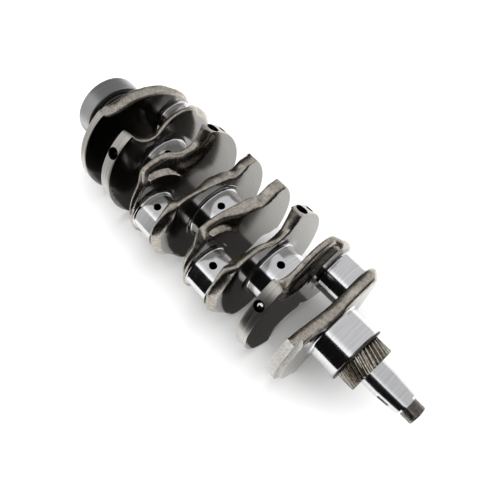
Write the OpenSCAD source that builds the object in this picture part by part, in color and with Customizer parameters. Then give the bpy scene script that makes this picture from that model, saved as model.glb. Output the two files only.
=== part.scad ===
// Four-cylinder forged crankshaft for a small diesel engine.
// The crank axis is X, with the flywheel face at X = 0 and the nose toward +X. The throws lie in the XY plane.

/* [Journals and throws] */
// radius of main journals 2 to 5
main_r = 32.5; // [31.5:0.5:33]
// radius of the front main journal
front_main_r = 31.5; // [31:0.5:32]
// radius of every crankpin
pin_r = 25; // [24:0.5:25.5]
// distance from the crank axis to a crankpin axis
throw = 50; // [49:0.5:51]
// length of a main journal between its webs
main_len = 30; // [29:0.5:31]
// length of a crankpin between its webs
pin_len = 30; // [29:0.5:31]
// length of the front main journal
front_main_len = 33.5; // [32:0.5:35]
// radius of the fillets where a journal meets its webs
fillet_r = 2; // [1:0.5:2.5]

/* [Webs] */
// thickness of a web
web_t = 15.5; // [15:0.5:17]
// radius of the turned counterweight rims
rim_r = 75; // [74.5:0.5:76]
// half angle of a wide counterweight
wide_angle = 64; // [62:1:65]
// half angle of a narrow counterweight
narrow_angle = 35; // [34:1:37]
// how far the pin side of a web is cut back at its flanks
relief = 7; // [5:0.5:8]

/* [Flywheel end] */
// radius of the flywheel flange and its seal land
flange_r = 41; // [40.5:0.5:42]
// length of the flange
flange_len = 22; // [21:0.5:23]
// pitch circle diameter of the flywheel bolts
bolt_pcd = 60; // [58:1:62]
// number of flywheel bolts
bolt_count = 6; // [4:1:8]
// radius of the tapping holes for M10 bolts
bolt_hole_r = 4.25; // [4.2:0.05:4.3]
// radius of the pilot bore
pilot_r = 15; // [14:0.5:17]

/* [Nose end] */
// radius of the seat for the timing gear
seat_r = 17; // [16.5:0.5:18]
// tip radius of the timing gear
gear_r = 26.7; // [26:0.1:27.5]
// number of gear teeth
gear_teeth = 32; // [28:1:36]
// helix angle of the gear
gear_helix = 19; // [15:1:22]
// width of the gear
gear_len = 19.5; // [18:0.5:21]
// radius of the straight part of the nose
nose_r = 15.3; // [15:0.1:15.6]
// radius at the small end of the nose taper
taper_r = 13; // [12.5:0.1:13.5]
// outside radius of the nose thread
thread_r = 11; // [10.8:0.1:11.2]

/* [Hidden] */
$fn = 96;
ball_r = 5.5;         // steel balls that close the oil ways
bore_from = 60;       // where the plug bores end, from the crank axis
start_r = 62;         // where the oil ways leave the plug bores
oil_r = 3;
link_r = 2.5;         // oil links along the journals
oil_tilt = 5;         // lean of the journal oil holes
boss_extra = 5;       // ring round each main journal where a web keeps its full thickness
thrower_r = 32.3;
thrower_t = 1.5;
key_w = 5;
key_h = 4;
thread_len = 12.5;
neck_r = 9.5;

pitch = main_len + pin_len + 2 * web_t;
x_main5 = flange_len;
x_web4r = x_main5 + main_len;
x_pin4 = x_web4r + web_t;
x_web4f = x_pin4 + pin_len;
x_main4 = x_web4f + web_t;
x_web3r = x_main4 + main_len;
x_pin3 = x_web3r + web_t;
x_web3f = x_pin3 + pin_len;
x_main3 = x_web3f + web_t;
x_web2r = x_web3r + pitch;
x_pin2 = x_pin3 + pitch;
x_web2f = x_web3f + pitch;
x_main2 = x_main3 + pitch;
x_web1r = x_web2r + pitch;
x_pin1 = x_pin2 + pitch;
x_web1f = x_web2f + pitch;
x_main1 = x_main2 + pitch;
x_seat = x_main1 + front_main_len;
x_gear = x_seat + thrower_t;
x_nose = x_gear + gear_len;
straight_len = 16;
taper_len = 25.5;
neck_len = 2.5;
x_neck = x_nose + straight_len + taper_len;
x_thread = x_neck + neck_len;
shaft_end = x_thread + thread_len;

// a flat outline drawn with its first axis along Y and its second along Z, thickened along X
module slab(x, t) {
  translate([x, 0, 0])
    rotate([90, 0, 90])
      linear_extrude(t)
        children();
}

module rod(x, r, len, y = 0, z = 0) {
  translate([x, y, z])
    rotate([0, 90, 0])
      cylinder(h = len, r = r);
}

module cone(x, r1, r2, len) {
  translate([x, 0, 0])
    rotate([0, 90, 0])
      cylinder(h = len, r1 = r1, r2 = r2);
}

// a journal with a fillet at each end, its seam turned away from the oil holes
module journal(x, r, len, y = 0) {
  steps = 5;
  rise = [for (i = [0 : steps]) let (a = 90 * i / steps) [r + fillet_r * (1 - sin(a)), fillet_r * (1 - cos(a))]];
  fall = [for (i = [0 : steps]) let (p = rise[steps - i]) [p[0], len - p[1]]];
  seam = 20;
  translate([x, y, 0])
    rotate([seam, 0, 0])
      rotate([0, 90, 0])
        rotate_extrude()
          polygon(concat([[0, 0]], rise, fall, [[0, len]]));
}

// a radial oil hole with a countersunk mouth in the top of a journal, or turned about its axis
module oil_mouth(x, r, y, depth, turn = 0) {
  translate([x, y, 0])
    rotate([turn + oil_tilt, 0, 0])
      translate([0, 0, r - depth]) {
        cylinder(h = depth + 1, r = oil_r);
        translate([0, 0, depth - 1.4])
          cylinder(h = 2.4, r1 = oil_r, r2 = oil_r + 2.4);
      }
}

// ---- web outlines, u toward the crankpin and v across ----

// the rim disc, trimmed flat at the flanks beyond u = 0
module blank_disc(cap) {
  intersection() {
    circle(rim_r, $fn = 180);
    union() {
      translate([-rim_r, -rim_r])
        square([rim_r + 1, 2 * rim_r]);
      translate([0, -cap])
        square([rim_r, 2 * cap]);
    }
  }
}

// a circle whose lowest point is at height h over u = u0 and which passes through the corner [a, b]
module waist(u0, h, a, b) {
  vc = (pow(a - u0, 2) + b * b - h * h) / (2 * (b - h));
  for (s = [-1, 1])
    translate([u0, s * vc])
      circle(vc - h);
}

module wide_outline() {
  difference() {
    blank_disc(61);
    waist(-10, 44, -rim_r * cos(wide_angle), rim_r * sin(wide_angle));
  }
}

module narrow_outline() {
  chamfer_at = 70;
  difference() {
    intersection() {
      blank_disc(55);
      union() {
        rotate(45)
          square(2 * chamfer_at, center = true);
        translate([-rim_r, -rim_r])
          square([rim_r, 2 * rim_r]);
      }
    }
    waist(-32, 36.5, -rim_r * cos(narrow_angle), rim_r * sin(narrow_angle));
  }
}

module round_outline() {
  full_r = 63;
  end_u = 20;
  union() {
    circle(full_r, $fn = 180);
    translate([end_u, 0])
      circle(rim_r - end_u, $fn = 180);
    intersection() {
      circle(rim_r, $fn = 180);
      translate([-rim_r, -rim_r])
        square([rim_r - 33, 2 * rim_r]);
    }
    intersection() {
      circle(rim_r, $fn = 180);
      translate([-34, -62])
        square([44, 124]);
    }
  }
}

module front_outline() {
  top_cap = 50;
  low_cap = 66.5;
  difference() {
    intersection() {
      circle(rim_r, $fn = 180);
      translate([-rim_r, -low_cap])
        square([2 * rim_r, low_cap + top_cap]);
    }
    waist(3, 34, -40, 50);
  }
}

// a wedge off the pin side of a web at each flank; the counterweight keeps its full thickness
module flank_relief(from_u) {
  start_v = 25;
  end_v = 50;
  far_v = 100;
  cut = relief * (far_v - start_v) / (end_v - start_v);
  for (s = [0, 1])
    mirror([0, 0, s])
      translate([0, rim_r + 1, 0])
        rotate([90, 0, 0])
          linear_extrude(rim_r + 1 - from_u)
            polygon([[web_t, start_v], [web_t - cut, far_v], [web_t + 1, far_v], [web_t + 1, start_v]]);
}

// the main side of a web falls away toward its end beyond the crankpin
module end_relief() {
  start_u = 52;
  far_u = 90;
  fall = 0.32 * (far_u - start_u);
  translate([0, 0, -rim_r])
    linear_extrude(2 * rim_r)
      polygon([[-1, start_u], [0, start_u], [fall, far_u], [-1, far_u]]);
}

// one web with its main journal at local x = 0 and its crankpin beyond x = web_t
module web_body(from_u) {
  pin_ring = 2;
  ring_from = 9;
  difference() {
    slab(0, web_t)
      children();
    flank_relief(from_u);
    end_relief();
  }
  rod(0, main_r + boss_extra, web_t);
  rod(ring_from, pin_r + pin_ring, web_t - ring_from, throw);
}

// the thinner turned rim on the main side of the two end webs
module rim_step(depth, to_u) {
  step_r = 66;
  difference() {
    slab(-1, depth + 1)
      translate([-rim_r - 1, -rim_r - 1])
        square([rim_r + 1 + to_u, 2 * rim_r + 2]);
    rod(-2, step_r, depth + 3);
  }
}

// the drilled way from the counterweight rim to the crankpin, with a bore for its plug
module oil_way(angle, end_v) {
  run_u = throw + start_r * cos(angle);
  run_v = end_v - start_r * sin(angle);
  mouth_h = 3.5;
  mouth_flare = 1.8;
  translate([web_t / 2, 0, 0]) {
    rotate([90 - angle, 0, 0]) {
      translate([0, 0, bore_from])
        cylinder(h = rim_r - bore_from + 1, r = ball_r);
      translate([0, 0, rim_r + 1 - mouth_h])
        cylinder(h = mouth_h, r1 = ball_r, r2 = ball_r + mouth_flare);
    }
    translate([0, -start_r * cos(angle), start_r * sin(angle)])
      rotate([atan2(-run_u, run_v), 0, 0])
        cylinder(h = norm([run_u, run_v]), r = oil_r);
  }
}

// turns a web: face is 1 when its crankpin lies toward the nose, side is 1 when its throw lies along +Y
module set_web(x, face, side) {
  translate([face > 0 ? x : x + web_t, 0, 0])
    mirror([face > 0 ? 0 : 1, 0, 0])
      mirror([0, side > 0 ? 0 : 1, 0])
        children();
}

// ---- oil ways shared by the pieces they run through ----

angle_outer = 42;     // rim holes that feed crankpins 1 and 4
angle_inner = 55;     // rim holes that feed crankpins 2 and 3
end_outer = 0;        // height of the oil links in crankpins 1 and 4
end_inner = -8;       // height of the oil links in crankpins 2 and 3

// height at which a rim drilling crosses the crank axis
function cross_v(angle, end_v) =
  end_v + (start_r * sin(angle) - end_v) * throw / (throw + start_r * cos(angle));

// the ways from a journal's middle into the web beside it and on into the next crankpin's middle
module oil_branch(x, face, side, angle, end_v) {
  link_len = (web_t + main_len) / 2;
  pin_link = (web_t + pin_len) / 2;
  set_web(x, face, side) {
    oil_way(angle, end_v);
    rod(-main_len / 2, link_r, link_len, 0, cross_v(angle, end_v));
    rod(web_t / 2, link_r, pin_link, throw, end_v);
  }
}

module oil_ways() {
  oil_branch(x_web1r, 1, 1, angle_outer, end_outer);
  oil_branch(x_web2f, -1, -1, angle_inner, end_inner);
  oil_branch(x_web3r, 1, -1, angle_inner, end_inner);
  oil_branch(x_web4f, -1, 1, angle_outer, end_outer);
  for (x = [x_main2, x_main3, x_main4])
    oil_mouth(x + main_len / 2, main_r, 0, main_r);
  for (x = [x_pin2, x_pin3])
    oil_mouth(x + pin_len / 2, pin_r, -throw, pin_r - end_inner);
  for (x = [x_pin1, x_pin4])
    oil_mouth(x + pin_len / 2, pin_r, throw, pin_r, 180);
}

module cut_oil(x0, x1) {
  reach = 2 * rim_r;
  difference() {
    children();
    intersection() {
      oil_ways();
      translate([x0 - 1, -reach, -reach])
        cube([x1 - x0 + 2, 2 * reach, 2 * reach]);
    }
  }
}

// ---- pieces ----

module flywheel_flange() {
  bolt_depth = 18;
  color("silver")
    difference() {
      union() {
        cone(0, flange_r - 1, flange_r, 1);
        rod(1, flange_r, flange_len - 2);
        cone(flange_len - 1, flange_r, flange_r - 1, 1);
      }
      rod(-1, pilot_r, 15);
      for (i = [0 : bolt_count - 1])
        rotate([i * 360 / bolt_count, 0, 0])
          rod(-1, bolt_hole_r, bolt_depth + 1, 0, bolt_pcd / 2);
    }
}

module main_journal_1() {
  color("gainsboro")
    journal(x_main1, front_main_r, front_main_len);
}

module main_journal_2() {
  color("gainsboro")
    cut_oil(x_main2, x_main2 + main_len)
      journal(x_main2, main_r, main_len);
}

module main_journal_3() {
  color("gainsboro")
    cut_oil(x_main3, x_main3 + main_len)
      journal(x_main3, main_r, main_len);
}

module main_journal_4() {
  color("gainsboro")
    cut_oil(x_main4, x_main4 + main_len)
      journal(x_main4, main_r, main_len);
}

module main_journal_5() {
  color("gainsboro")
    journal(x_main5, main_r, main_len);
}

module crankpin_1() {
  color("gainsboro")
    cut_oil(x_pin1, x_pin1 + pin_len)
      journal(x_pin1, pin_r, pin_len, throw);
}

module crankpin_2() {
  color("gainsboro")
    cut_oil(x_pin2, x_pin2 + pin_len)
      journal(x_pin2, pin_r, pin_len, -throw);
}

module crankpin_3() {
  color("gainsboro")
    cut_oil(x_pin3, x_pin3 + pin_len)
      journal(x_pin3, pin_r, pin_len, -throw);
}

module crankpin_4() {
  color("gainsboro")
    cut_oil(x_pin4, x_pin4 + pin_len)
      journal(x_pin4, pin_r, pin_len, throw);
}

module web_1_front() {
  color("rosybrown")
    set_web(x_web1f, -1, 1)
      difference() {
        web_body(-8)
          front_outline();
        rim_step(5.5, -56);
      }
}

module web_1_rear() {
  color("rosybrown")
    cut_oil(x_web1r, x_web1r + web_t)
      set_web(x_web1r, 1, 1)
        web_body(-22)
          wide_outline();
}

module web_2_front() {
  color("rosybrown")
    difference() {
      cut_oil(x_web2f, x_web2f + web_t)
        set_web(x_web2f, -1, -1)
          web_body(-22)
            wide_outline();
      balance_hole(x_web2f, -1);
    }
}

module web_2_rear() {
  color("rosybrown")
    set_web(x_web2r, 1, -1)
      web_body(-8)
        narrow_outline();
}

module web_3_front() {
  color("rosybrown")
    set_web(x_web3f, -1, -1)
      web_body(-8)
        narrow_outline();
}

module web_3_rear() {
  color("rosybrown")
    difference() {
      cut_oil(x_web3r, x_web3r + web_t)
        set_web(x_web3r, 1, -1)
          web_body(-22)
            wide_outline();
      balance_hole(x_web3r, 1);
    }
}

module web_4_front() {
  color("rosybrown")
    cut_oil(x_web4f, x_web4f + web_t)
      set_web(x_web4f, -1, 1)
        web_body(-22)
          wide_outline();
}

module web_4_rear() {
  color("rosybrown")
    set_web(x_web4r, 1, 1)
      difference() {
        web_body(30)
          round_outline();
        rim_step(6.5, -20);
      }
}

// a shallow balancing hole in a rim
module balance_hole(x, face) {
  hole_angle = 41;
  set_web(x, face, -1)
    translate([web_t / 2, 0, 0])
      rotate([90 - hole_angle, 0, 0])
        translate([0, 0, rim_r - 9])
          cylinder(h = 10, r = 4);
}

// a steel ball pressed into a rim drilling at the given depth
module plug(x, face, side, angle, depth) {
  color("lightsteelblue")
    set_web(x, face, side)
      translate([web_t / 2, 0, 0])
        rotate([90 - angle, 0, 0])
          translate([0, 0, rim_r - depth])
            sphere(ball_r);
}

module oil_plug_1() {
  plug(x_web1r, 1, 1, angle_outer, 6);
}

module oil_plug_2() {
  plug(x_web2f, -1, -1, angle_inner, 9);
}

module oil_plug_3() {
  plug(x_web3r, 1, -1, angle_inner, 9);
}

module oil_plug_4() {
  plug(x_web4f, -1, 1, angle_outer, 9);
}

module oil_thrower() {
  color("dimgray")
    difference() {
      rod(x_seat, thrower_r, thrower_t);
      rod(x_seat - 1, seat_r, thrower_t + 2);
    }
}

// one tooth space of the timing gear, as a trapezium
module tooth_gap() {
  root_r = gear_r - 4.2;
  half_root = 0.2 * 2 * root_r * sin(180 / gear_teeth);
  half_tip = 0.36 * 2 * gear_r * sin(180 / gear_teeth);
  polygon([[root_r, -half_root], [gear_r + 1, -half_tip], [gear_r + 1, half_tip], [root_r, half_root]]);
}

module timing_gear() {
  twist_angle = gear_len * tan(gear_helix) / gear_r * 180 / PI;
  color("tan")
    difference() {
      translate([x_gear, 0, 0])
        rotate([0, 90, 0])
          linear_extrude(gear_len, twist = twist_angle, slices = 6)
            difference() {
              circle(gear_r, $fn = 4 * gear_teeth);
              for (i = [0 : gear_teeth - 1])
                rotate(i * 360 / gear_teeth)
                  tooth_gap();
            }
      rod(x_gear - 1, seat_r, gear_len + 2);
      key_slot(x_gear - 1, gear_len + 2);
    }
}

// the space a key takes, from inside the seat out into the gear
module key_slot(x, len) {
  key_out = 1.6;
  translate([x, -key_w / 2, -seat_r - key_out])
    cube([len, key_w, key_h]);
}

module gear_key() {
  color("slategray")
    key_slot(x_gear + 2, gear_len - 4);
}

module nose_shaft() {
  slot_r = 8;
  slot_drop = 4.7;
  slot_x = x_nose + 26;
  color("gainsboro")
    difference() {
      union() {
        rod(x_seat, seat_r, x_nose - x_seat);
        rod(x_nose, nose_r, straight_len);
        cone(x_nose + straight_len, nose_r, taper_r, taper_len);
        rod(x_neck, neck_r, neck_len);
      }
      key_slot(x_gear + 2, gear_len - 4);
      translate([slot_x, -nose_r - slot_drop + 0.6, -key_w / 2])
        cylinder(h = key_w, r = slot_r);
    }
}

module threaded_end() {
  bevel = 1;
  color("gray")
    union() {
      rod(x_thread, thread_r, thread_len - bevel);
      cone(shaft_end - bevel, thread_r, thread_r - bevel, bevel);
    }
}

flywheel_flange();
main_journal_1();
main_journal_2();
main_journal_3();
main_journal_4();
main_journal_5();
crankpin_1();
crankpin_2();
crankpin_3();
crankpin_4();
web_1_front();
web_1_rear();
web_2_front();
web_2_rear();
web_3_front();
web_3_rear();
web_4_front();
web_4_rear();
oil_plug_1();
oil_plug_2();
oil_plug_3();
oil_plug_4();
oil_thrower();
timing_gear();
gear_key();
nose_shaft();
threaded_end();
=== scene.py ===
# Looks of a forged four-cylinder crankshaft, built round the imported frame.
import math

import bmesh
import bpy
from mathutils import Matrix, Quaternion, Vector, noise
from mathutils.geometry import delaunay_2d_cdt


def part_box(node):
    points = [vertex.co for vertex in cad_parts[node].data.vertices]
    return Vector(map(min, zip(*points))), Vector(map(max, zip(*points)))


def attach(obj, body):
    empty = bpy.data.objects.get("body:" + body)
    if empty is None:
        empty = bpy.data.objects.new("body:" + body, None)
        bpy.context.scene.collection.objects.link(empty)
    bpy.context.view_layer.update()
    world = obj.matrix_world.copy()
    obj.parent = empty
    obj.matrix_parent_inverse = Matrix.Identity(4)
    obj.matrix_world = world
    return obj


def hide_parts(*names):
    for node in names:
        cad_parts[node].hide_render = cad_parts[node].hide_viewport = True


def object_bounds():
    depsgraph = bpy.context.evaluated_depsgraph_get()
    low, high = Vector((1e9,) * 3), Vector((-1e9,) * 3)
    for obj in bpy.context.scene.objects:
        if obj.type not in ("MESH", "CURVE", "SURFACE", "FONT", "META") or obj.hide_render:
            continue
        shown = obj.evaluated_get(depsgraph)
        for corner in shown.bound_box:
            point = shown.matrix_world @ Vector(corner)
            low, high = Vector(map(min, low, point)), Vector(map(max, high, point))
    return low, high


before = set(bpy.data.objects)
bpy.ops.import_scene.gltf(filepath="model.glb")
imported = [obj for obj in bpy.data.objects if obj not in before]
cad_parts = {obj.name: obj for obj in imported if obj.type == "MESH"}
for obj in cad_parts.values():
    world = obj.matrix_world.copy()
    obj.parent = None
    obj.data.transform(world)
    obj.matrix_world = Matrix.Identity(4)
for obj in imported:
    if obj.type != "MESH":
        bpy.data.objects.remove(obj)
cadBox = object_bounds()
mm = 0.001
print("frame loaded:", len(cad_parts), "nodes")


def linearColour(hexCode):
    # sRGB hex to linear, with alpha
    channels = [int(hexCode[i : i + 2], 16) / 255 for i in (1, 3, 5)]
    return [c / 12.92 if c < 0.04045 else ((c + 0.055) / 1.055) ** 2.4 for c in channels] + [1.0]


def addNode(tree, kind, settings={}, values={}, links={}):
    node = tree.nodes.new(kind)
    for key, value in settings.items():
        setattr(node, key, value)
    for key, value in values.items():
        node.inputs[key].default_value = value
    for key, source in links.items():
        tree.links.new(source, node.inputs[key])
    return node


def ease(value, low, high):
    # 0 below low, 1 above high, smooth between
    t = min(max((value - low) / (high - low), 0.0), 1.0)
    return t * t * (3 - 2 * t)


def mix(a, b, t):
    return a + (b - a) * t


def newPiece(name, mesh, materials, stands, sharpAngle=32):
    piece = bpy.data.objects.new(name, mesh)
    bpy.context.scene.collection.objects.link(piece)
    for material in materials:
        mesh.materials.append(material)
    for polygon in mesh.polygons:
        polygon.use_smooth = True
    mesh.set_sharp_from_angle(angle=math.radians(sharpAngle))
    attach(piece, "root")
    if stands:
        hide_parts(stands)
    return piece


def cutWith(piece, cutters, sharpAngle=32):
    # drills or mills the piece with closed cutter meshes, then keeps the plain mesh
    for cutter in cutters:
        modifier = piece.modifiers.new("cut", "BOOLEAN")
        modifier.operation = "DIFFERENCE"
        modifier.solver = "EXACT"
        modifier.object = cutter
    bpy.context.view_layer.update()
    shaped = piece.evaluated_get(bpy.context.evaluated_depsgraph_get())
    mesh = bpy.data.meshes.new_from_object(shaped)
    piece.modifiers.clear()
    piece.data = mesh
    for polygon in mesh.polygons:
        polygon.use_smooth = True
    mesh.set_sharp_from_angle(angle=math.radians(sharpAngle))
    for cutter in cutters:
        bpy.data.objects.remove(cutter)


def cutterPiece(mesh, metalIndex):
    # hides a cutter and marks which of the web metals its faces leave behind
    for metal in (forgedSteel, cheekSteel, turnedSteel, boreShadeSteel):
        mesh.materials.append(metal[0])
    for polygon in mesh.polygons:
        polygon.material_index = metalIndex
    cutter = bpy.data.objects.new("cutter", mesh)
    bpy.context.scene.collection.objects.link(cutter)
    cutter.hide_render = True
    return cutter


def cutterRod(start, direction, length, radius, endRadius=None, sides=48, metalIndex=3):
    # a closed rod or cone in mm, used only for cutting
    endRadius = radius if endRadius is None else endRadius
    mesh = bpy.data.meshes.new("cutter")
    shape = bmesh.new()
    bmesh.ops.create_cone(
        shape, cap_ends=True, segments=sides, radius1=radius * mm, radius2=endRadius * mm, depth=length * mm
    )
    turn = Vector(direction).to_track_quat("Z", "Y").to_matrix().to_4x4()
    middle = Vector(start) * mm + Vector(direction).normalized() * length * mm / 2
    bmesh.ops.transform(shape, matrix=turn, verts=shape.verts)
    bmesh.ops.translate(shape, vec=middle, verts=shape.verts)
    shape.to_mesh(mesh)
    shape.free()
    return cutterPiece(mesh, metalIndex)


# the camera and the light
viewSetup = {
    "position": (437.99, -200.98, 466.15),  # mm
    "target": (265.71, -1.24, 0.0),
    "roll": 8.16,  # degrees
    "fieldOfView": 53.35,
}

cameraData = bpy.data.cameras.new("camera")
cameraData.sensor_width = 36
cameraData.lens = cameraData.sensor_width / 2 / math.tan(math.radians(viewSetup["fieldOfView"] / 2))
cameraData.clip_start = 0.01
camera = bpy.data.objects.new("camera", cameraData)
bpy.context.scene.collection.objects.link(camera)
camera.location = Vector(viewSetup["position"]) * mm
gaze = (Vector(viewSetup["target"]) - Vector(viewSetup["position"])).to_track_quat("-Z", "Y")
camera.rotation_mode = "QUATERNION"
camera.rotation_quaternion = gaze @ Quaternion((0, 0, 1), math.radians(viewSetup["roll"]))
bpy.context.scene.camera = camera
bpy.context.scene.view_settings.view_transform = "Standard"
bpy.context.scene.view_settings.gamma = 0.8  # deep shadows

studio = {
    "tentHex": "#ffffff",
    "tentEdge": 1.45,  # the tent is brightest low over the dark side
    "tentTop": 0.8,
    "tentLean": 1.15,  # how far the tent's lower edge leans down towards the lit side
    "tentStart": (-0.21, -0.1),
    "tentFall": (-0.15, 0.5),
    "ends": (0.45, 0.8),  # the tent is open past the ends of the shaft
    "dark": 0.012,  # the unlit side of the room
    "endShade": 0.06,  # how much of the tent is left past the ends of the shaft
    "wall": 0.85,  # a lit wall past the flange on the dark side
    "wallX": (-0.4, -0.52),
    "wallY": (-0.2, -0.45),
    "lamps": {"softboxOver": ((0.3, 0.35, 1.2), 15.0), "softboxFill": ((0.2, -0.8, 0.9), 9.0)},  # m, watts
    "lampSize": 1.5,
    "lampAim": (0.25, 0, 0),
    "floorHex": "#f9f9f9",
    # painted shade colour for the strip under the shaft
    "shadeHex": "#c0bebb",
    "shadeEnd": 0.376,  # m along the shaft, the strip stops under the front web
    "shade": (-0.055, 0.035),  # m, the strip of painted shade under the shaft that shows dark in the metal
    "sheetEdge": -0.175,  # m, where the sheet under the part stops on the dark side
}

world = bpy.data.worlds.new("studio")
bpy.context.scene.world = world
world.use_nodes = True
tree = world.node_tree
tree.nodes.clear()
direction = addNode(tree, "ShaderNodeTexCoord")
axes = addNode(tree, "ShaderNodeSeparateXYZ", links={"Vector": direction.outputs["Generated"]})
lift = addNode(
    tree,
    "ShaderNodeMath",
    {"operation": "MULTIPLY_ADD"},
    {1: studio["tentLean"]},
    {0: axes.outputs["Y"], 2: axes.outputs["Z"]},
)
tent = addNode(
    tree,
    "ShaderNodeMapRange",
    {"interpolation_type": "SMOOTHSTEP"},
    {"From Min": studio["tentStart"][0], "From Max": studio["tentStart"][1]},
    {"Value": lift.outputs[0]},
)
fall = addNode(
    tree,
    "ShaderNodeMapRange",
    {"interpolation_type": "SMOOTHSTEP"},
    {
        "From Min": studio["tentFall"][0],
        "From Max": studio["tentFall"][1],
        "To Min": studio["tentEdge"],
        "To Max": studio["tentTop"],
    },
    {"Value": lift.outputs[0]},
)
alongShaft = addNode(tree, "ShaderNodeMath", {"operation": "ABSOLUTE"}, {}, {0: axes.outputs["X"]})
endSide = addNode(
    tree,
    "ShaderNodeMapRange",
    {"interpolation_type": "SMOOTHSTEP"},
    {
        "From Min": studio["ends"][0],
        "From Max": studio["ends"][1],
        "To Min": 1.0,
        "To Max": studio["endShade"],
    },
    {"Value": alongShaft.outputs[0]},
)
level = addNode(
    tree, "ShaderNodeMath", {"operation": "MULTIPLY"}, {}, {0: tent.outputs[0], 1: fall.outputs[0]}
)
shaded = addNode(
    tree, "ShaderNodeMath", {"operation": "MULTIPLY"}, {}, {0: level.outputs[0], 1: endSide.outputs[0]}
)
wallX = addNode(
    tree,
    "ShaderNodeMapRange",
    {},
    {"From Min": studio["wallX"][0], "From Max": studio["wallX"][1]},
    {"Value": axes.outputs["X"]},
)
wallY = addNode(
    tree,
    "ShaderNodeMapRange",
    {},
    {"From Min": studio["wallY"][0], "From Max": studio["wallY"][1]},
    {"Value": axes.outputs["Y"]},
)
wallArea = addNode(
    tree, "ShaderNodeMath", {"operation": "MULTIPLY"}, {}, {0: wallX.outputs[0], 1: wallY.outputs[0]}
)
wall = addNode(
    tree, "ShaderNodeMath", {"operation": "MULTIPLY"}, {1: studio["wall"]}, {0: wallArea.outputs[0]}
)
lit = addNode(
    tree, "ShaderNodeMath", {"operation": "MAXIMUM"}, {}, {0: shaded.outputs[0], 1: wall.outputs[0]}
)
total = addNode(
    tree, "ShaderNodeMath", {"operation": "MAXIMUM"}, {1: studio["dark"]}, {0: lit.outputs[0]}
)
glow = addNode(
    tree,
    "ShaderNodeBackground",
    {},
    {"Color": linearColour(studio["tentHex"])},
    {"Strength": total.outputs[0]},
)
addNode(tree, "ShaderNodeOutputWorld", links={"Surface": glow.outputs[0]})

for name, (spot, watts) in studio["lamps"].items():
    lampData = bpy.data.lights.new(name, "AREA")
    lampData.energy = watts
    lampData.size = studio["lampSize"]
    lamp = bpy.data.objects.new(name, lampData)
    bpy.context.scene.collection.objects.link(lamp)
    lamp.location = spot
    lamp.rotation_mode = "QUATERNION"
    lamp.rotation_quaternion = (Vector(studio["lampAim"]) - lamp.location).to_track_quat("-Z", "Y")
    lamp.visible_glossy = False  # these only light the table; the metal mirrors the tent

# matt paper, white where it is seen, and a grey sheet of painted shade where only the metal mirrors it
papers = {}
for name, hexCode in (("whitePaper", studio["floorHex"]), ("paintedShadePaper", studio["shadeHex"])):
    papers[name] = bpy.data.materials.new(name)
    papers[name].use_nodes = True
    paperShader = papers[name].node_tree.nodes["Principled BSDF"]
    paperShader.inputs["Base Color"].default_value = linearColour(hexCode)
    paperShader.inputs["Roughness"].default_value = 0.9

floorZ = cadBox[0].z - 0.1 * mm
floors = {}
strips = {  # near and far edge in y, left and right edge in x, in metres
    "table": (-12.0, studio["sheetEdge"], -8, 8),
    "nearSheet": (studio["sheetEdge"], studio["shade"][0], -8, 8),
    "underPart": (*studio["shade"], -8, studio["shadeEnd"]),
    "underNose": (*studio["shade"], studio["shadeEnd"], 8),
    "farSheet": (studio["shade"][1], 6.0, -8, 8),
    "shadeUnderPart": (*studio["shade"], -8, studio["shadeEnd"]),
}
for name, (near, far, left, right) in strips.items():
    floorMesh = bpy.data.meshes.new(name)
    corners = [(left, near, floorZ), (right, near, floorZ), (right, far, floorZ), (left, far, floorZ)]
    floorMesh.from_pydata(corners, [], [(0, 1, 2, 3)])
    floorMesh.materials.append(papers["paintedShadePaper" if name == "shadeUnderPart" else "whitePaper"])
    floors[name] = bpy.data.objects.new(name, floorMesh)
    bpy.context.scene.collection.objects.link(floors[name])
floors["table"].visible_glossy = False  # metal sees the dark room past the sheet
# under the shaft the metal mirrors a grey strip of painted shade, which only reflections see
floors["underPart"].visible_glossy = False
floors["shadeUnderPart"].visible_camera = False
floors["shadeUnderPart"].visible_diffuse = False
floors["shadeUnderPart"].visible_shadow = False
print("camera, light and floor ready")


def startMetal(name, hexCode, roughness):
    # a new metal with its shader, and the place on the object in metres
    material = bpy.data.materials.new(name)
    material.use_nodes = True
    tree = material.node_tree
    shader = tree.nodes["Principled BSDF"]
    shader.inputs["Metallic"].default_value = 1.0
    shader.inputs["Base Color"].default_value = linearColour(hexCode)
    shader.inputs["Roughness"].default_value = roughness
    place = addNode(tree, "ShaderNodeTexCoord").outputs["Object"]
    return material, tree, shader, place


def roundedLines(metal, spacing, depth, roughLow, roughHigh):
    # marks that run round the shaft, such as turning and grinding leave, spacing in mm
    tree, shader, place = metal[1:]
    drift = 18  # per metre, so each mark changes only slowly on its way round
    along = addNode(
        tree, "ShaderNodeMapping", {}, {"Scale": (1 / (spacing * mm), drift, drift)}, {"Vector": place}
    )
    marks = addNode(
        tree,
        "ShaderNodeTexNoise",
        {},
        {"Scale": 1.0, "Detail": 3.0, "Roughness": 0.65},
        {"Vector": along.outputs[0]},
    )
    rough = addNode(
        tree,
        "ShaderNodeMapRange",
        {},
        {"From Min": 0.3, "From Max": 0.7, "To Min": roughLow, "To Max": roughHigh},
        {"Value": marks.outputs[0]},
    )
    tree.links.new(rough.outputs[0], shader.inputs["Roughness"])
    bump = addNode(
        tree,
        "ShaderNodeBump",
        {},
        {"Strength": 1.0, "Distance": depth * mm},
        {"Height": marks.outputs[0]},
    )
    tree.links.new(bump.outputs[0], shader.inputs["Normal"])
    return marks


def tintBy(metal, factor, darkHex, lightHex):
    # two tones of one metal, spread over the middle of the factor's range
    tree, shader = metal[1:3]
    ramp = addNode(tree, "ShaderNodeValToRGB", {}, {}, {"Fac": factor})
    ramp.color_ramp.elements[0].position = 0.3
    ramp.color_ramp.elements[0].color = linearColour(darkHex)
    ramp.color_ramp.elements[1].position = 0.7
    ramp.color_ramp.elements[1].color = linearColour(lightHex)
    tree.links.new(ramp.outputs[0], shader.inputs["Base Color"])
    return ramp


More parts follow.
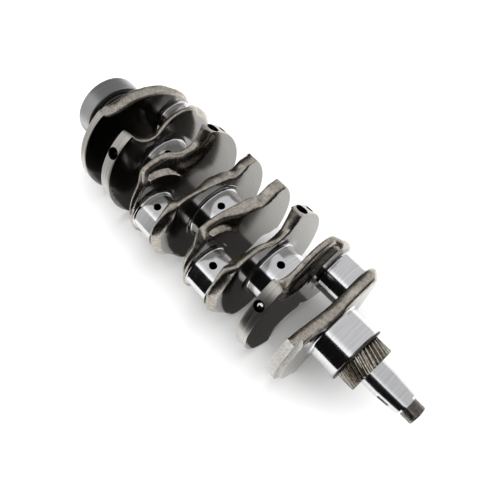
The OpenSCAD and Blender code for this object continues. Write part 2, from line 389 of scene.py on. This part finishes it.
def mottle(metal, size, detail, darkHex, lightHex):
    # uneven patches of two tones, size in mm
    tree, place = metal[1], metal[3]
    patches = addNode(
        tree, "ShaderNodeTexNoise", {}, {"Scale": 1 / (size * mm), "Detail": detail}, {"Vector": place}
    )
    tintBy(metal, patches.outputs[0], darkHex, lightHex)


def paintedHoleShade(metal, ramp, axisY, radius):
    # everything more than a hair inside the ground surface is a drilled hole, painted near black as painted
    # shade
    tree, shader, place = metal[1:]
    centred = addNode(
        tree, "ShaderNodeVectorMath", {"operation": "SUBTRACT"}, {1: (0, axisY * mm, 0)}, {0: place}
    )
    across = addNode(
        tree, "ShaderNodeVectorMath", {"operation": "MULTIPLY"}, {1: (0, 1, 1)}, {0: centred.outputs[0]}
    )
    reach = addNode(tree, "ShaderNodeVectorMath", {"operation": "LENGTH"}, {}, {0: across.outputs[0]})
    skin = addNode(
        tree,
        "ShaderNodeMapRange",
        {},
        {"From Min": (radius - 0.6) * mm, "From Max": (radius - 0.12) * mm},
        {"Value": reach.outputs["Value"]},
    )
    # painted shade colour for the inside of the holes
    tinted = addNode(
        tree,
        "ShaderNodeMix",
        {"data_type": "RGBA"},
        {"A": linearColour("#0b0a0a")},
        {"Factor": skin.outputs[0], "B": ramp.outputs[0]},
    )
    tree.links.new(tinted.outputs["Result"], shader.inputs["Base Color"])


# ground and polished journal steel: near mirror, faint marks round the shaft
journalSteel = {
    "groundMainSteel": {"axisY": 0.0, "radius": 32.5},
    "groundFrontSteel": {"axisY": 0.0, "radius": 31.5},
    "groundPinSteelOver": {"axisY": 50.0, "radius": 25.0},
    "groundPinSteelUnder": {"axisY": -50.0, "radius": 25.0},
}
finishes = {}
for name, journal in journalSteel.items():
    finishes[name] = startMetal(name, "#e0e0e2", 0.13)
    groundMarks = roundedLines(finishes[name], 0.5, 0.0006, 0.09, 0.18)
    groundTint = tintBy(finishes[name], groundMarks.outputs[0], "#d2d2d4", "#e8e8e9")
    paintedHoleShade(finishes[name], groundTint, journal["axisY"], journal["radius"])

# the rear main is left duller and darker grey
finishes["dullRearSteel"] = startMetal("dullRearSteel", "#6d6b69", 0.24)
rearMarks = roundedLines(finishes["dullRearSteel"], 0.5, 0.001, 0.2, 0.32)
tintBy(finishes["dullRearSteel"], rearMarks.outputs[0], "#5b5957", "#7c7a78")

# turned steel on the counterweight rims: bright with visible tool lines
turnedSteel = startMetal("turnedRimSteel", "#cfccc8", 0.3)
turnedMarks = roundedLines(turnedSteel, 0.9, 0.004, 0.26, 0.42)
tintBy(turnedSteel, turnedMarks.outputs[0], "#b3b0ab", "#e2dfda")

# satin turned flange, with fine rings
finishes["satinFlangeSteel"] = startMetal("satinFlangeSteel", "#bdbdbe", 0.34)
flangeMarks = roundedLines(finishes["satinFlangeSteel"], 0.7, 0.002, 0.3, 0.42)
tintBy(finishes["satinFlangeSteel"], flangeMarks.outputs[0], "#a9a9aa", "#cdcdce")

# milled cheeks of the webs: flat, fairly glossy, lines in circles about the shaft
cheekSteel = startMetal("milledCheekSteel", "#98948f", 0.18)
cheekTree, cheekShader, cheekPlace = cheekSteel[1:]
cheekParts = addNode(cheekTree, "ShaderNodeSeparateXYZ", links={"Vector": cheekPlace})
cheekFlat = addNode(
    cheekTree, "ShaderNodeCombineXYZ", links={"X": cheekParts.outputs["Y"], "Y": cheekParts.outputs["Z"]}
)
cheekRadius = addNode(
    cheekTree, "ShaderNodeVectorMath", {"operation": "LENGTH"}, {}, {0: cheekFlat.outputs[0]}
)
cheekSpacing = 0.8  # mm between tool lines, drawn coarser than real so they show
cheekScaled = addNode(
    cheekTree,
    "ShaderNodeMath",
    {"operation": "MULTIPLY"},
    {1: 1 / (cheekSpacing * mm)},
    {0: cheekRadius.outputs["Value"]},
)
cheekMarks = addNode(
    cheekTree,
    "ShaderNodeTexNoise",
    {"noise_dimensions": "1D"},
    {"Scale": 1.0, "Detail": 2.0, "Roughness": 0.6},
    {"W": cheekScaled.outputs[0]},
)
cheekRough = addNode(
    cheekTree,
    "ShaderNodeMapRange",
    {},
    {"From Min": 0.3, "From Max": 0.7, "To Min": 0.13, "To Max": 0.2},
    {"Value": cheekMarks.outputs[0]},
)
cheekTree.links.new(cheekRough.outputs[0], cheekShader.inputs["Roughness"])
cheekBump = addNode(
    cheekTree,
    "ShaderNodeBump",
    {},
    {"Strength": 1.0, "Distance": 0.0008 * mm},
    {"Height": cheekMarks.outputs[0]},
)
cheekTree.links.new(cheekBump.outputs[0], cheekShader.inputs["Normal"])
tintBy(cheekSteel, cheekMarks.outputs[0], "#93918e", "#b2b0ad")

# the cheeks that face the flywheel are painted dark, painted shade for the dark they mirror between the webs
paintedShadeCheekSteel = startMetal("paintedShadeCheekSteel", "#55534f", 0.3)
mottle(paintedShadeCheekSteel, 6, 5.0, "#3f3d3a", "#62605c")

# the front counterweight's rim is blasted, so it stays pale from any side
blastedRimSteel = startMetal("blastedRimSteel", "#d5d3d0", 0.5)
blastedRimSteel[2].inputs["Metallic"].default_value = 0.3  # oxide between the dimples scatters like stone
mottle(blastedRimSteel, 1.5, 5.0, "#bdbbb7", "#e6e4e1")

# as forged and shot blasted: warm grey, mottled, dimpled, satin
forgedSteel = startMetal("shotBlastedForging", "#857a6c", 0.45)
forgedTree, forgedShader, forgedPlace = forgedSteel[1:]
blotch = addNode(
    forgedTree,
    "ShaderNodeTexNoise",
    {},
    {"Scale": 1 / (4 * mm), "Detail": 6.0, "Roughness": 0.7},
    {"Vector": forgedPlace},
)
tintBy(forgedSteel, blotch.outputs[0], "#9c968e", "#d8d2c9")
grit = addNode(
    forgedTree,
    "ShaderNodeTexNoise",
    {},
    {"Scale": 1 / (1.1 * mm), "Detail": 3.0, "Roughness": 0.7},
    {"Vector": forgedPlace},
)
gritRough = addNode(
    forgedTree,
    "ShaderNodeMapRange",
    {},
    {"From Min": 0.25, "From Max": 0.75, "To Min": 0.2, "To Max": 0.36},
    {"Value": grit.outputs[0]},
)
forgedTree.links.new(gritRough.outputs[0], forgedShader.inputs["Roughness"])
gritBump = addNode(
    forgedTree,
    "ShaderNodeBump",
    {},
    {"Strength": 1.0, "Distance": 0.12 * mm},
    {"Height": grit.outputs[0]},
)
forgedTree.links.new(gritBump.outputs[0], forgedShader.inputs["Normal"])

# hobbed gear steel, warm grey and fairly glossy
gearSteel = startMetal("temperedGearSteel", "#aaa49b", 0.2)
mottle(gearSteel, 3, 4.0, "#a6a098", "#d6d2cb")

# pressed thin ring, dark satin under oil
finishes["oiledRingSteel"] = startMetal("oiledRingSteel", "#5a5855", 0.35)
roundedLines(finishes["oiledRingSteel"], 0.6, 0.002, 0.3, 0.42)

# cut thread, mid grey and fairly glossy
threadSteel = startMetal("cutThreadSteel", "#a5a29f", 0.24)
mottle(threadSteel, 1.5, 3.0, "#8b8885", "#bdbab6")

# ground nose, a little duller than the journals
finishes["groundNoseSteel"] = startMetal("groundNoseSteel", "#d8d8da", 0.18)
noseMarks = roundedLines(finishes["groundNoseSteel"], 0.6, 0.001, 0.14, 0.26)
tintBy(finishes["groundNoseSteel"], noseMarks.outputs[0], "#c8c8ca", "#e4e4e5")

# inside of the drillings, painted near black as painted shade
boreShadeSteel = startMetal("paintedShadeDrilledBore", "#1a1816", 0.4)
boreMarks = roundedLines(boreShadeSteel, 0.8, 0.002, 0.35, 0.5)
tintBy(boreShadeSteel, boreMarks.outputs[0], "#12110f", "#24221f")

# polished bearing ball, a mirror with a few scuffs
finishes["polishedBallSteel"] = startMetal("polishedBallSteel", "#e8e8ea", 0.06)
ballTree, ballShader, ballPlace = finishes["polishedBallSteel"][1:]
ballScuffs = addNode(
    ballTree,
    "ShaderNodeTexNoise",
    {},
    {"Scale": 1 / (1.2 * mm), "Detail": 4.0},
    {"Vector": ballPlace},
)
ballRough = addNode(
    ballTree,
    "ShaderNodeMapRange",
    {},
    {"From Min": 0.4, "From Max": 0.8, "To Min": 0.04, "To Max": 0.14},
    {"Value": ballScuffs.outputs[0]},
)
ballTree.links.new(ballRough.outputs[0], ballShader.inputs["Roughness"])

# the deeper balls are painted dark, painted shade of their drillings
finishes["paintedShadeBallSteel"] = startMetal("paintedShadeBallSteel", "#2a2826", 0.3)
mottle(finishes["paintedShadeBallSteel"], 1.5, 3.0, "#1c1a18", "#3a3733")

# drawn key steel, dull with faint lines
finishes["drawnKeySteel"] = startMetal("drawnKeySteel", "#7d7b78", 0.3)
roundedLines(finishes["drawnKeySteel"], 0.4, 0.002, 0.25, 0.4)
print("metals ready")

# the webs, in mm: u runs toward the crankpin, v across, w through the thickness
webShape = {
    "rimRadius": 75.0,
    "throw": 50.0,
    "mainShoulder": 37.5,  # ring left standing round a main journal
    "pinShoulder": 30.0,
    "shoulderStep": 0.8,  # width of the slope at the edge of those rings
    "cheekRecess": 0.6,  # how far the cheeks sit below those rings
    "padRadius": 48.5,  # the flat milled round a crankpin
    "padFoot": 52.5,
    "cutBy": 57.0,  # distance from the crankpin where the shoulder is fully cut back
    "spacing": 1.7,  # mm between points of an outline
    "cut": 6.0,  # how far the forged shoulder falls back on the pin side
    "roundDepth": 6.5,  # how far in that shoulder reaches
    "fallFrom": 50.0,  # where the main side starts to fall away
    "fall": 0.15,
    "fallSoft": 5.0,
    "plainRound": 4.5,
    "bevel": (46.0, 60.0),  # where the bevel past the crankpin starts and is full
    "endInset": 6.5,
    "endDepth": 7.5,
    "bevelFlat": 0.8,  # how flat that bevel is
    "rimRound": 0.5,
    "straight": (0.15, 0.95),  # share of the side that stands straight, forged and on the rim
    "lumpSpacing": 8.0,  # uneven forged skin
    "lumpThrough": 6.0,
    "lumpHeight": 0.5,
    "forgedBelow": 0.3,  # a place further than this under the milled flat is still forged
}

# half outlines from the counterweight corner to the end round the crankpin, u toward the pin
wideFlank = [
    (-32.9, 67.4), (-29.5, 60.5), (-24, 53), (-17, 48), (-10, 46), (-3, 47), (4, 51), (11, 56), (18, 59.3),
    (26, 60.8), (36, 60.4), (43, 58.5), (50, 54), (57.5, 46.5), (64, 38.5), (70.5, 28.5), (75.5, 16), (77, 0),
]
narrowFlank = [
    (-61.4, 43), (-54, 43), (-47, 42.3), (-41, 38.5), (-34, 37), (-24, 42), (-9, 47), (3, 50), (16, 53),
    (29, 55), (42, 54.5), (50, 48.5), (60, 38.7), (70, 28.5), (75.5, 16), (77, 0),
]
roundFlank = [
    (-36.5, 65.5), (-30, 61.5), (-20, 61), (-8, 62.3), (4, 63.3), (14, 61.6), (25, 58.5), (38, 53.5),
    (51, 46), (63, 37), (70.5, 27), (75.5, 14), (77, 0),
]
frontFlank = [
    (-56, 50), (-46, 49.4), (-36, 46.5), (-25, 42), (-12, 37), (0, 34.2), (8, 34.6), (20, 39.5), (32, 45.5),
    (42, 48.6), (52, 48), (61, 41), (68, 29), (75, 15), (77, 0),
]
frontLowFlank = [
    (-34.7, 66.5), (-28, 60), (-20, 51), (-10, 41), (0, 36.5), (8, 36), (20, 40), (32, 45.5),
    (42, 48.6), (52, 48), (61, 41), (68, 29), (75, 15), (77, 0),
]

# cutFrom: where in u the shoulder starts to fall back, edge: rounding on the main journal side in mm,
# side: 1 where the crankpin lies toward +y, face: 1 where the main journal lies toward -x
webs = {
    "web_4_rear": {"flank": roundFlank, "cutFrom": None, "edge": 3.5, "side": 1, "face": 1},
    "web_4_front": {"flank": wideFlank, "cutFrom": (-34, -6), "edge": 1.6, "side": 1, "face": -1},
    "web_3_rear": {"flank": wideFlank, "cutFrom": (-34, -6), "edge": 1.6, "side": -1, "face": 1},
    "web_3_front": {"flank": narrowFlank, "cutFrom": (-8, 24), "edge": 1.6, "side": -1, "face": -1},
    "web_2_rear": {"flank": narrowFlank, "cutFrom": (-8, 24), "edge": 1.6, "side": -1, "face": 1},
    "web_2_front": {"flank": wideFlank, "cutFrom": (-34, -6), "edge": 1.6, "side": -1, "face": -1},
    "web_1_rear": {"flank": wideFlank, "cutFrom": (-34, -6), "edge": 1.6, "side": 1, "face": 1},
    "web_1_front": {
        "flank": frontFlank,
        "lowFlank": frontLowFlank,
        "cutFrom": None,
        "edge": 5.0,
        "side": 1,
        "face": -1,
    },
}


def curveThrough(points, steps=8):
    # a smooth open curve through given points
    ends = [points[0]] + points + [points[-1]]
    path = []
    for a, b, c, d in zip(ends, ends[1:], ends[2:], ends[3:]):
        for k in range(steps):
            t = k / steps
            path.append(
                tuple(
                    0.5
                    * (
                        2 * b[i]
                        + (c[i] - a[i]) * t
                        + (2 * a[i] - 5 * b[i] + 4 * c[i] - d[i]) * t * t
                        + (3 * b[i] - a[i] - 3 * c[i] + d[i]) * t * t * t
                    )
                    for i in (0, 1)
                )
            )
    return path + [points[-1]]


def closedOutline(web):
    # evenly spaced points round the web, with a share of 1 on the turned rim
    upper = curveThrough(web["flank"])
    lower = curveThrough(web.get("lowFlank", web["flank"]))
    path = [(u, v, 0.0) for u, v in upper] + [(u, -v, 0.0) for u, v in reversed(lower[:-1])]
    rim = webShape["rimRadius"]
    start = math.atan2(-lower[0][1], lower[0][0])
    stop = math.atan2(upper[0][1], upper[0][0])
    sweep = (start - stop) % (2 * math.pi)
    parts = 120
    for k in range(1, parts):
        angle = start - sweep * k / parts
        path.append((rim * math.cos(angle), rim * math.sin(angle), 1.0))
    lengths = [0.0]
    for a, b in zip(path, path[1:] + path[:1]):
        lengths.append(lengths[-1] + math.hypot(b[0] - a[0], b[1] - a[1]))
    count = int(lengths[-1] / webShape["spacing"])
    points, k = [], 0
    for i in range(count):
        at = lengths[-1] * i / count
        while lengths[k + 1] < at:
            k += 1
        a, b = path[k], path[(k + 1) % len(path)]
        t = (at - lengths[k]) / max(lengths[k + 1] - lengths[k], 1e-9)
        points.append([mix(a[j], b[j], t) for j in (0, 1, 2)])
    for _ in range(2):  # rounds the corners a little
        points = [
            [(points[i - 1][j] + 2 * points[i][j] + points[(i + 1) % count][j]) / 4 for j in (0, 1, 2)]
            for i in range(count)
        ]
    return points


def shoulderCut(web, u, v):
    # how far the forged shoulder falls back at this place on the outline, 0 to 1
    if web["cutFrom"] is None:
        return 0.0
    fromPin = math.hypot(u - webShape["throw"], v)
    beyondPad = ease(fromPin, webShape["padRadius"] + 0.5, webShape["cutBy"])
    return beyondPad * ease(u, *web["cutFrom"])


def mainSideHeight(u, v):
    # the cheek lies below the journal's ring and falls away past the crankpin
    ring = webShape["mainShoulder"]
    past = max(0.0, u - webShape["fallFrom"])
    recess = webShape["cheekRecess"] * ease(math.hypot(u, v), ring, ring + webShape["shoulderStep"])
    return recess + webShape["fall"] * past * past / (past + webShape["fallSoft"])


def pinSideHeight(web, full, u, v, edgeHeight, fromEdge):
    # height of the pin side face: the shoulder's foot, rising to the milled flat
    fromPin = math.hypot(u - webShape["throw"], v)
    pad = 1 - ease(fromPin, webShape["padRadius"], webShape["padFoot"])
    inner = ease(fromEdge, 1.0, 11.0) * (1 - ease(u, 4, 20))
    height = mix(edgeHeight, full, max(pad, inner))
    boss = 1 - ease(fromPin, webShape["pinShoulder"], webShape["pinShoulder"] + webShape["shoulderStep"])
    return height + webShape["cheekRecess"] * boss


def faceFill(border, rings, step, inside):
    # triangles across a face: its border, rings of points where the shape changes, and a loose grid
    points = [Vector((u, v)) for u, v in border]
    count = len(points)
    extra = []
    for centreU, radius in rings:
        pieces = max(24, int(2 * math.pi * radius / 2.4))
        for k in range(pieces):
            angle = 2 * math.pi * k / pieces
            extra.append((centreU + radius * math.cos(angle), radius * math.sin(angle)))
    row = 0
    reach = 78.0  # past every outline
    v = -reach
    while v < reach:
        u = -reach + (step / 2 if row % 2 else 0)
        while u < reach:
            if all(abs(math.hypot(u - c, v) - r) > step * 0.45 for c, r in rings):
                extra.append((u, v))
            u += step
        v += step * 0.87
        row += 1
    for u, v in extra:
        if inside(u, v):
            points.append(Vector((u, v)))
    found = delaunay_2d_cdt(points, [], [list(range(count))], 1, 1e-5)
    triangles = [[found[3][i][0] for i in face] for face in found[2]]
    return points[count:], triangles


def insideTest(border, margin):
    # true where a place is well within a closed border
    spans = list(zip(border, border[1:] + border[:1]))

    def test(u, v):
        hit = False
        for (ua, va), (ub, vb) in spans:
            if (va > v) != (vb > v) and u < ua + (v - va) / (vb - va) * (ub - ua):
                hit = not hit
        if not hit:
            return False
        return min((u - a[0]) ** 2 + (v - a[1]) ** 2 for a in border) > margin * margin

    return test


def shoulderColumn(web, point, outward, base, top, cut, seed):
    # points over the side of the web at one place, from the main journal side to the pin side
    u, v, rim = point
    edge = mix(web["edge"], webShape["rimRound"], rim)
    reach = mix(mix(webShape["plainRound"], webShape["roundDepth"], cut), webShape["rimRound"], rim)
    bevel = ease(u, *webShape["bevel"])
    wide = mix(edge, webShape["endInset"], bevel)
    deep = mix(edge, webShape["endDepth"], bevel)
    rise = top - base - deep
    straight = mix(*webShape["straight"], rim) * rise
    column = []
    for k in range(5):
        angle = math.pi / 2 * k / 4
        flat = webShape["bevelFlat"] * bevel
        across = mix(math.sin(angle), k / 4, flat)
        along = mix(1 - math.cos(angle), k / 4, flat)
        column.append((wide * (1 - across), base + deep * along))
    for k in (1, 2, 3):
        column.append((0.0, base + deep + straight * k / 3))
    for k in range(1, 8):
        angle = math.pi / 2 * k / 7
        inset = reach * (1 - math.cos(angle))
        column.append((inset, base + deep + straight + (rise - straight) * math.sin(angle)))
    placed = []
    for inset, w in column:
        spacing = webShape["lumpSpacing"]
        spot = Vector((u / spacing, v / spacing, w / webShape["lumpThrough"] + seed))
        lump = max(noise.noise(spot), 0.0) * webShape["lumpHeight"] * (1 - rim)
        place = Vector((u, v)) - outward * (inset + lump)
        placed.append((place.x, place.y, w))
    return placed


def buildWeb(name, web):
    low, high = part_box(name)
    thickness = (high.x - low.x) / mm
    full = thickness - webShape["cheekRecess"]
    outline = closedOutline(web)
    count = len(outline)
    places, faces, kinds = [], [], []
    # kinds: 0 forged, 1 cheek toward the nose, 2 rim, 3 bore, 4 cheek toward the flywheel
    seed = low.x * 90  # the lumps differ from web to web
    tops = []
    for i, (u, v, rim) in enumerate(outline):
        a, b = outline[i - 1], outline[(i + 1) % count]
        outward = Vector((b[1] - a[1], a[0] - b[0])).normalized()
        if outward.dot(Vector((u + 20, v))) < 0:
            outward = -outward
        cut = shoulderCut(web, u, v) * (1 - rim)
        tops.append(full - webShape["cut"] * cut)
        places += shoulderColumn(web, (u, v, rim), outward, mainSideHeight(u, v), tops[-1], cut, seed)
    tall = len(places) // count
    rows = [[i * tall + s for i in range(count)] for s in range(tall)]
    for rowA, rowB in zip(rows, rows[1:]):
        for i in range(count):
            j = (i + 1) % count
            faces.append([rowA[i], rowA[j], rowB[j], rowB[i]])
            kinds.append(2 if outline[i][2] + outline[j][2] > 1.0 else 0)

    throw, shoulder = webShape["throw"], webShape["mainShoulder"]
    bottom = [places[i][:2] for i in rows[0]]
    rings = [(0, shoulder), (0, shoulder + webShape["shoulderStep"])]
    added, triangles = faceFill(bottom, rings, 5.0, insideTest(bottom, 1.5))
    start = len(places)
    places += [(p.x, p.y, mainSideHeight(p.x, p.y)) for p in added]
    for triangle in triangles:
        faces.append([rows[0][i] if i < count else start + i - count for i in triangle])
        kinds.append(1)

    border = [places[i][:2] for i in rows[-1]]
    pad, boss = webShape["padRadius"], webShape["pinShoulder"]
    rings = [(throw, boss), (throw, boss + webShape["shoulderStep"])]
    rings += [(throw, mix(pad, webShape["padFoot"], k / 3)) for k in range(4)]
    added, triangles = faceFill(border, rings, 3.0, insideTest(border, 0.8))
    start = len(places)
    near = []
    for p in added:
        gaps = [(p.x - a[0]) ** 2 + (p.y - a[1]) ** 2 for a in border]
        gap = min(gaps)
        edgeTop = tops[gaps.index(gap)]
        height = pinSideHeight(web, full, p.x, p.y, edgeTop, math.sqrt(gap))
        places.append((p.x, p.y, height))
        near.append(height)
    depths = tops + near
    for triangle in triangles:
        faces.append([rows[-1][i] if i < count else start + i - count for i in triangle])
        kinds.append(0 if min(depths[i] for i in triangle) < full - webShape["forgedBelow"] else 1)

    x0 = low.x if web["face"] > 0 else high.x
    mesh = bpy.data.meshes.new(name + "_look")
    corners = [(x0 + web["face"] * w * mm, web["side"] * u * mm, v * mm) for u, v, w in places]
    mesh.from_pydata(corners, [], faces)
    for polygon, kind in zip(mesh.polygons, kinds):
        polygon.material_index = kind
    shape = bmesh.new()
    shape.from_mesh(mesh)
    bmesh.ops.recalc_face_normals(shape, faces=shape.faces)
    shape.to_mesh(mesh)
    shape.free()
    # cheeks facing the flywheel take the painted shade metal
    for polygon in mesh.polygons:
        if polygon.material_index == 1 and polygon.normal.x < -0.7:
            polygon.material_index = 4
    rimMetal = blastedRimSteel if name == "web_1_front" else turnedSteel
    webMetals = [forgedSteel[0], cheekSteel[0], rimMetal[0], boreShadeSteel[0], paintedShadeCheekSteel[0]]
    piece = newPiece(name + "_look", mesh, webMetals, name, 35)
    return piece, x0 / mm, thickness


# angle in degrees up from the counterweight's middle, the rest in mm
drillings = {
    "web_4_front": [{"angle": 42, "radius": 5.5, "depth": 15, "mouth": 6.9}],
    "web_3_rear": [
        {"angle": 55, "radius": 5.5, "depth": 15, "mouth": 6.9},
        {"angle": 41, "radius": 4.0, "depth": 9, "mouth": 4.3},
    ],
    "web_2_front": [
        {"angle": 55, "radius": 5.5, "depth": 15, "mouth": 6.9},
        {"angle": 41, "radius": 4.0, "depth": 9, "mouth": 4.3},
    ],
    "web_1_rear": [{"angle": 42, "radius": 5.5, "depth": 15, "mouth": 5.9}],
}
mouthDepth = 1.6  # countersink of every drilling

# the end webs have a thinner rim on the main journal side, in mm and degrees
rimSteps = {
    "web_1_front": {"depth": 5.5, "radius": 69, "halfArc": 56},
    "web_4_rear": {"depth": 6.5, "radius": 66, "halfArc": 72.4},
}


def stepCutter(web, x0, step):
    # a ring-shaped block that thins the rim on the main journal side
    mesh = bpy.data.meshes.new("cutter")
    shape = bmesh.new()
    parts = 40
    clear = 84.0  # mm, well past the rim
    columns = []
    for k in range(parts + 1):
        angle = math.pi + math.radians(step["halfArc"]) * (2 * k / parts - 1)
        column = []
        for radius in (step["radius"], clear):
            for w in (-1.0, step["depth"]):
                y = web["side"] * radius * math.cos(angle)
                z = radius * math.sin(angle)
                column.append(shape.verts.new(((x0 + web["face"] * w) * mm, y * mm, z * mm)))
        columns.append(column)
    for a, b in zip(columns, columns[1:]):
        for i, j in ((0, 1), (1, 3), (3, 2), (2, 0)):
            shape.faces.new((a[i], a[j], b[j], b[i]))
    for end in (columns[0], columns[-1]):
        shape.faces.new((end[0], end[1], end[3], end[2]))
    bmesh.ops.recalc_face_normals(shape, faces=shape.faces)
    shape.to_mesh(mesh)
    shape.free()
    return cutterPiece(mesh, 2)


for name, web in webs.items():
    piece, x0, thickness = buildWeb(name, web)
    cutters = []
    for hole in drillings.get(name, []):
        angle = math.radians(hole["angle"])
        outward = Vector((0, -web["side"] * math.cos(angle), math.sin(angle)))
        middle = Vector((x0 + web["face"] * thickness / 2, 0, 0))
        rim = webShape["rimRadius"]
        bottom = middle + outward * (rim - hole["depth"])
        cutters.append(cutterRod(bottom, outward, hole["depth"] + 3, hole["radius"]))
        # the mouth's cone runs on past the rim at the same slope
        neck = middle + outward * (rim - mouthDepth)
        wideEnd = 2 * hole["mouth"] - hole["radius"]
        cutters.append(cutterRod(neck, outward, 2 * mouthDepth, hole["radius"], wideEnd))
    if name in rimSteps:
        cutters.append(stepCutter(web, x0, rimSteps[name]))
    if cutters:
        cutWith(piece, cutters, 38)
    print("web ready:", name, len(piece.data.polygons), "faces")

# nodes that keep their own mesh and only take a finish
plain = {
    "groundMainSteel": ["main_journal_2", "main_journal_3", "main_journal_4"],
    "groundFrontSteel": ["main_journal_1"],
    "dullRearSteel": ["main_journal_5"],
    "groundPinSteelOver": ["crankpin_1", "crankpin_4"],
    "groundPinSteelUnder": ["crankpin_2", "crankpin_3"],
    "polishedBallSteel": ["oil_plug_1"],
    "paintedShadeBallSteel": ["oil_plug_2", "oil_plug_3", "oil_plug_4"],
    "satinFlangeSteel": ["flywheel_flange"],
    "oiledRingSteel": ["oil_thrower"],
    "drawnKeySteel": ["gear_key"],
    "groundNoseSteel": ["nose_shaft"],
}
for finish, names in plain.items():
    for name in names:
        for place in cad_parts[name].material_slots:
            place.material = finishes[finish][0]

gear = {
    "teeth": 32,
    "tipRadius": 26.7,
    "rootRadius": 22.6,
    "helix": 19.0,  # degrees
    "slices": 22,
    "tipChamfer": 0.7,
    # radius and depth of the end face, from the teeth down to the bore
    "hub": ((21.4, 0.0), (20.9, 0.8), (19.2, 0.8), (18.8, 0.0), (17.0, 0.0)),
}


def buildGear():
    low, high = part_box("timing_gear")
    x0, length = low.x / mm, (high.x - low.x) / mm
    twist = length * math.tan(math.radians(gear["helix"])) / gear["tipRadius"]
    pitchAngle = 2 * math.pi / gear["teeth"]
    # one tooth as (share of the pitch, share of the height)
    tooth = [(-0.5, 0), (-0.36, 0), (-0.29, 0.18), (-0.22, 0.5), (-0.15, 0.82), (-0.1, 0.97), (0, 1.0)]
    tooth += [(0.1, 0.97), (0.15, 0.82), (0.22, 0.5), (0.29, 0.18), (0.36, 0)]
    places, faces = [], []
    rows = []
    for s in range(gear["slices"] + 1):
        along = s / gear["slices"]
        drop = gear["tipChamfer"] if s in (0, gear["slices"]) else 0.0
        row = []
        for k in range(gear["teeth"]):
            for share, height in tooth:
                radius = mix(gear["rootRadius"], gear["tipRadius"] - drop, height)
                angle = (k + share) * pitchAngle + twist * along
                row.append(len(places))
                places.append((x0 + length * along, radius * math.cos(angle), radius * math.sin(angle)))
        rows.append(row)
    count = len(rows[0])
    for a, b in zip(rows, rows[1:]):
        for i in range(count):
            j = (i + 1) % count
            faces.append([a[i], a[j], b[j], b[i]])
    for row, x in ((rows[0], x0), (rows[-1], x0 + length)):
        sign = 1 if row is rows[0] else -1
        hub = []
        for radius, depth in gear["hub"]:
            ring = []
            for i in range(count):
                old = places[row[i]]
                angle = math.atan2(old[2], old[1])
                ring.append(len(places))
                places.append((x + sign * depth, radius * math.cos(angle), radius * math.sin(angle)))
            hub.append(ring)
        for a, b in zip([row] + hub, hub):
            for i in range(count):
                j = (i + 1) % count
                faces.append([a[i], a[j], b[j], b[i]])
        if row is rows[0]:
            inner = hub[-1]
    last = list(range(len(places) - count, len(places)))
    for i in range(count):
        j = (i + 1) % count
        faces.append([inner[i], inner[j], last[j], last[i]])
    mesh = bpy.data.meshes.new("timing_gear_look")
    mesh.from_pydata([(x * mm, y * mm, z * mm) for x, y, z in places], [], faces)
    shape = bmesh.new()
    shape.from_mesh(mesh)
    bmesh.ops.recalc_face_normals(shape, faces=shape.faces)
    shape.to_mesh(mesh)
    shape.free()
    newPiece("timing_gear_look", mesh, [gearSteel[0]], "timing_gear", 40)


buildGear()
print("gear ready")

thread = {
    "outer": 11.0,
    "depth": 1.0,
    "pitch": 1.9,  # coarser than the real 1.5, so that the crests show
    "sides": 96,
    "rowsPerTurn": 8,
    "bevel": 1.2,
    "neckLength": 0.6,  # where the thread runs out at its foot
    "neckSlope": 0.6,
    "centreHole": ((0.0, 3.6), (2.8, 1.4), (5.0, 1.3), (5.4, 0.0)),  # depth, radius
}


def buildThread():
    low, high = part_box("threaded_end")
    x0, length = low.x / mm, (high.x - low.x) / mm
    rows = int(length / thread["pitch"] * thread["rowsPerTurn"])
    shape = bmesh.new()
    rings = []
    for r in range(rows + 1):
        x = length * r / rows
        ring = []
        for i in range(thread["sides"]):
            angle = 2 * math.pi * i / thread["sides"]
            phase = (x / thread["pitch"] - i / thread["sides"]) % 1.0
            crest = min(1.0, 1.25 * abs(2 * phase - 1))
            radius = thread["outer"] - thread["depth"] * (1 - crest)
            foot = thread["neckSlope"] * max(0.0, thread["neckLength"] - x)
            ends = thread["outer"] - max(0.0, x - (length - thread["bevel"])) - foot
            radius = min(radius, ends)
            ring.append(
                shape.verts.new(((x0 + x) * mm, radius * math.cos(angle) * mm, radius * math.sin(angle) * mm))
            )
        rings.append(ring)
    # face with a lathe centre hole
    for depth, radius in thread["centreHole"]:
        x = length - depth
        if radius == 0:
            rings.append([shape.verts.new(((x0 + x) * mm, 0, 0))])
            continue
        ring = []
        for i in range(thread["sides"]):
            angle = 2 * math.pi * i / thread["sides"]
            ring.append(
                shape.verts.new(((x0 + x) * mm, radius * math.cos(angle) * mm, radius * math.sin(angle) * mm))
            )
        rings.append(ring)
    for a, b in zip(rings, rings[1:]):
        for i in range(thread["sides"]):
            j = (i + 1) % thread["sides"]
            corners = [a[i], a[j], b[j % len(b)], b[i % len(b)]]
            shape.faces.new([v for k, v in enumerate(corners) if v not in corners[:k]])
    shape.faces.new(list(reversed(rings[0])))
    bmesh.ops.recalc_face_normals(shape, faces=shape.faces)
    mesh = bpy.data.meshes.new("threaded_end_look")
    shape.to_mesh(mesh)
    shape.free()
    newPiece("threaded_end_look", mesh, [threadSteel[0]], "threaded_end", 40)


buildThread()
print("thread ready")
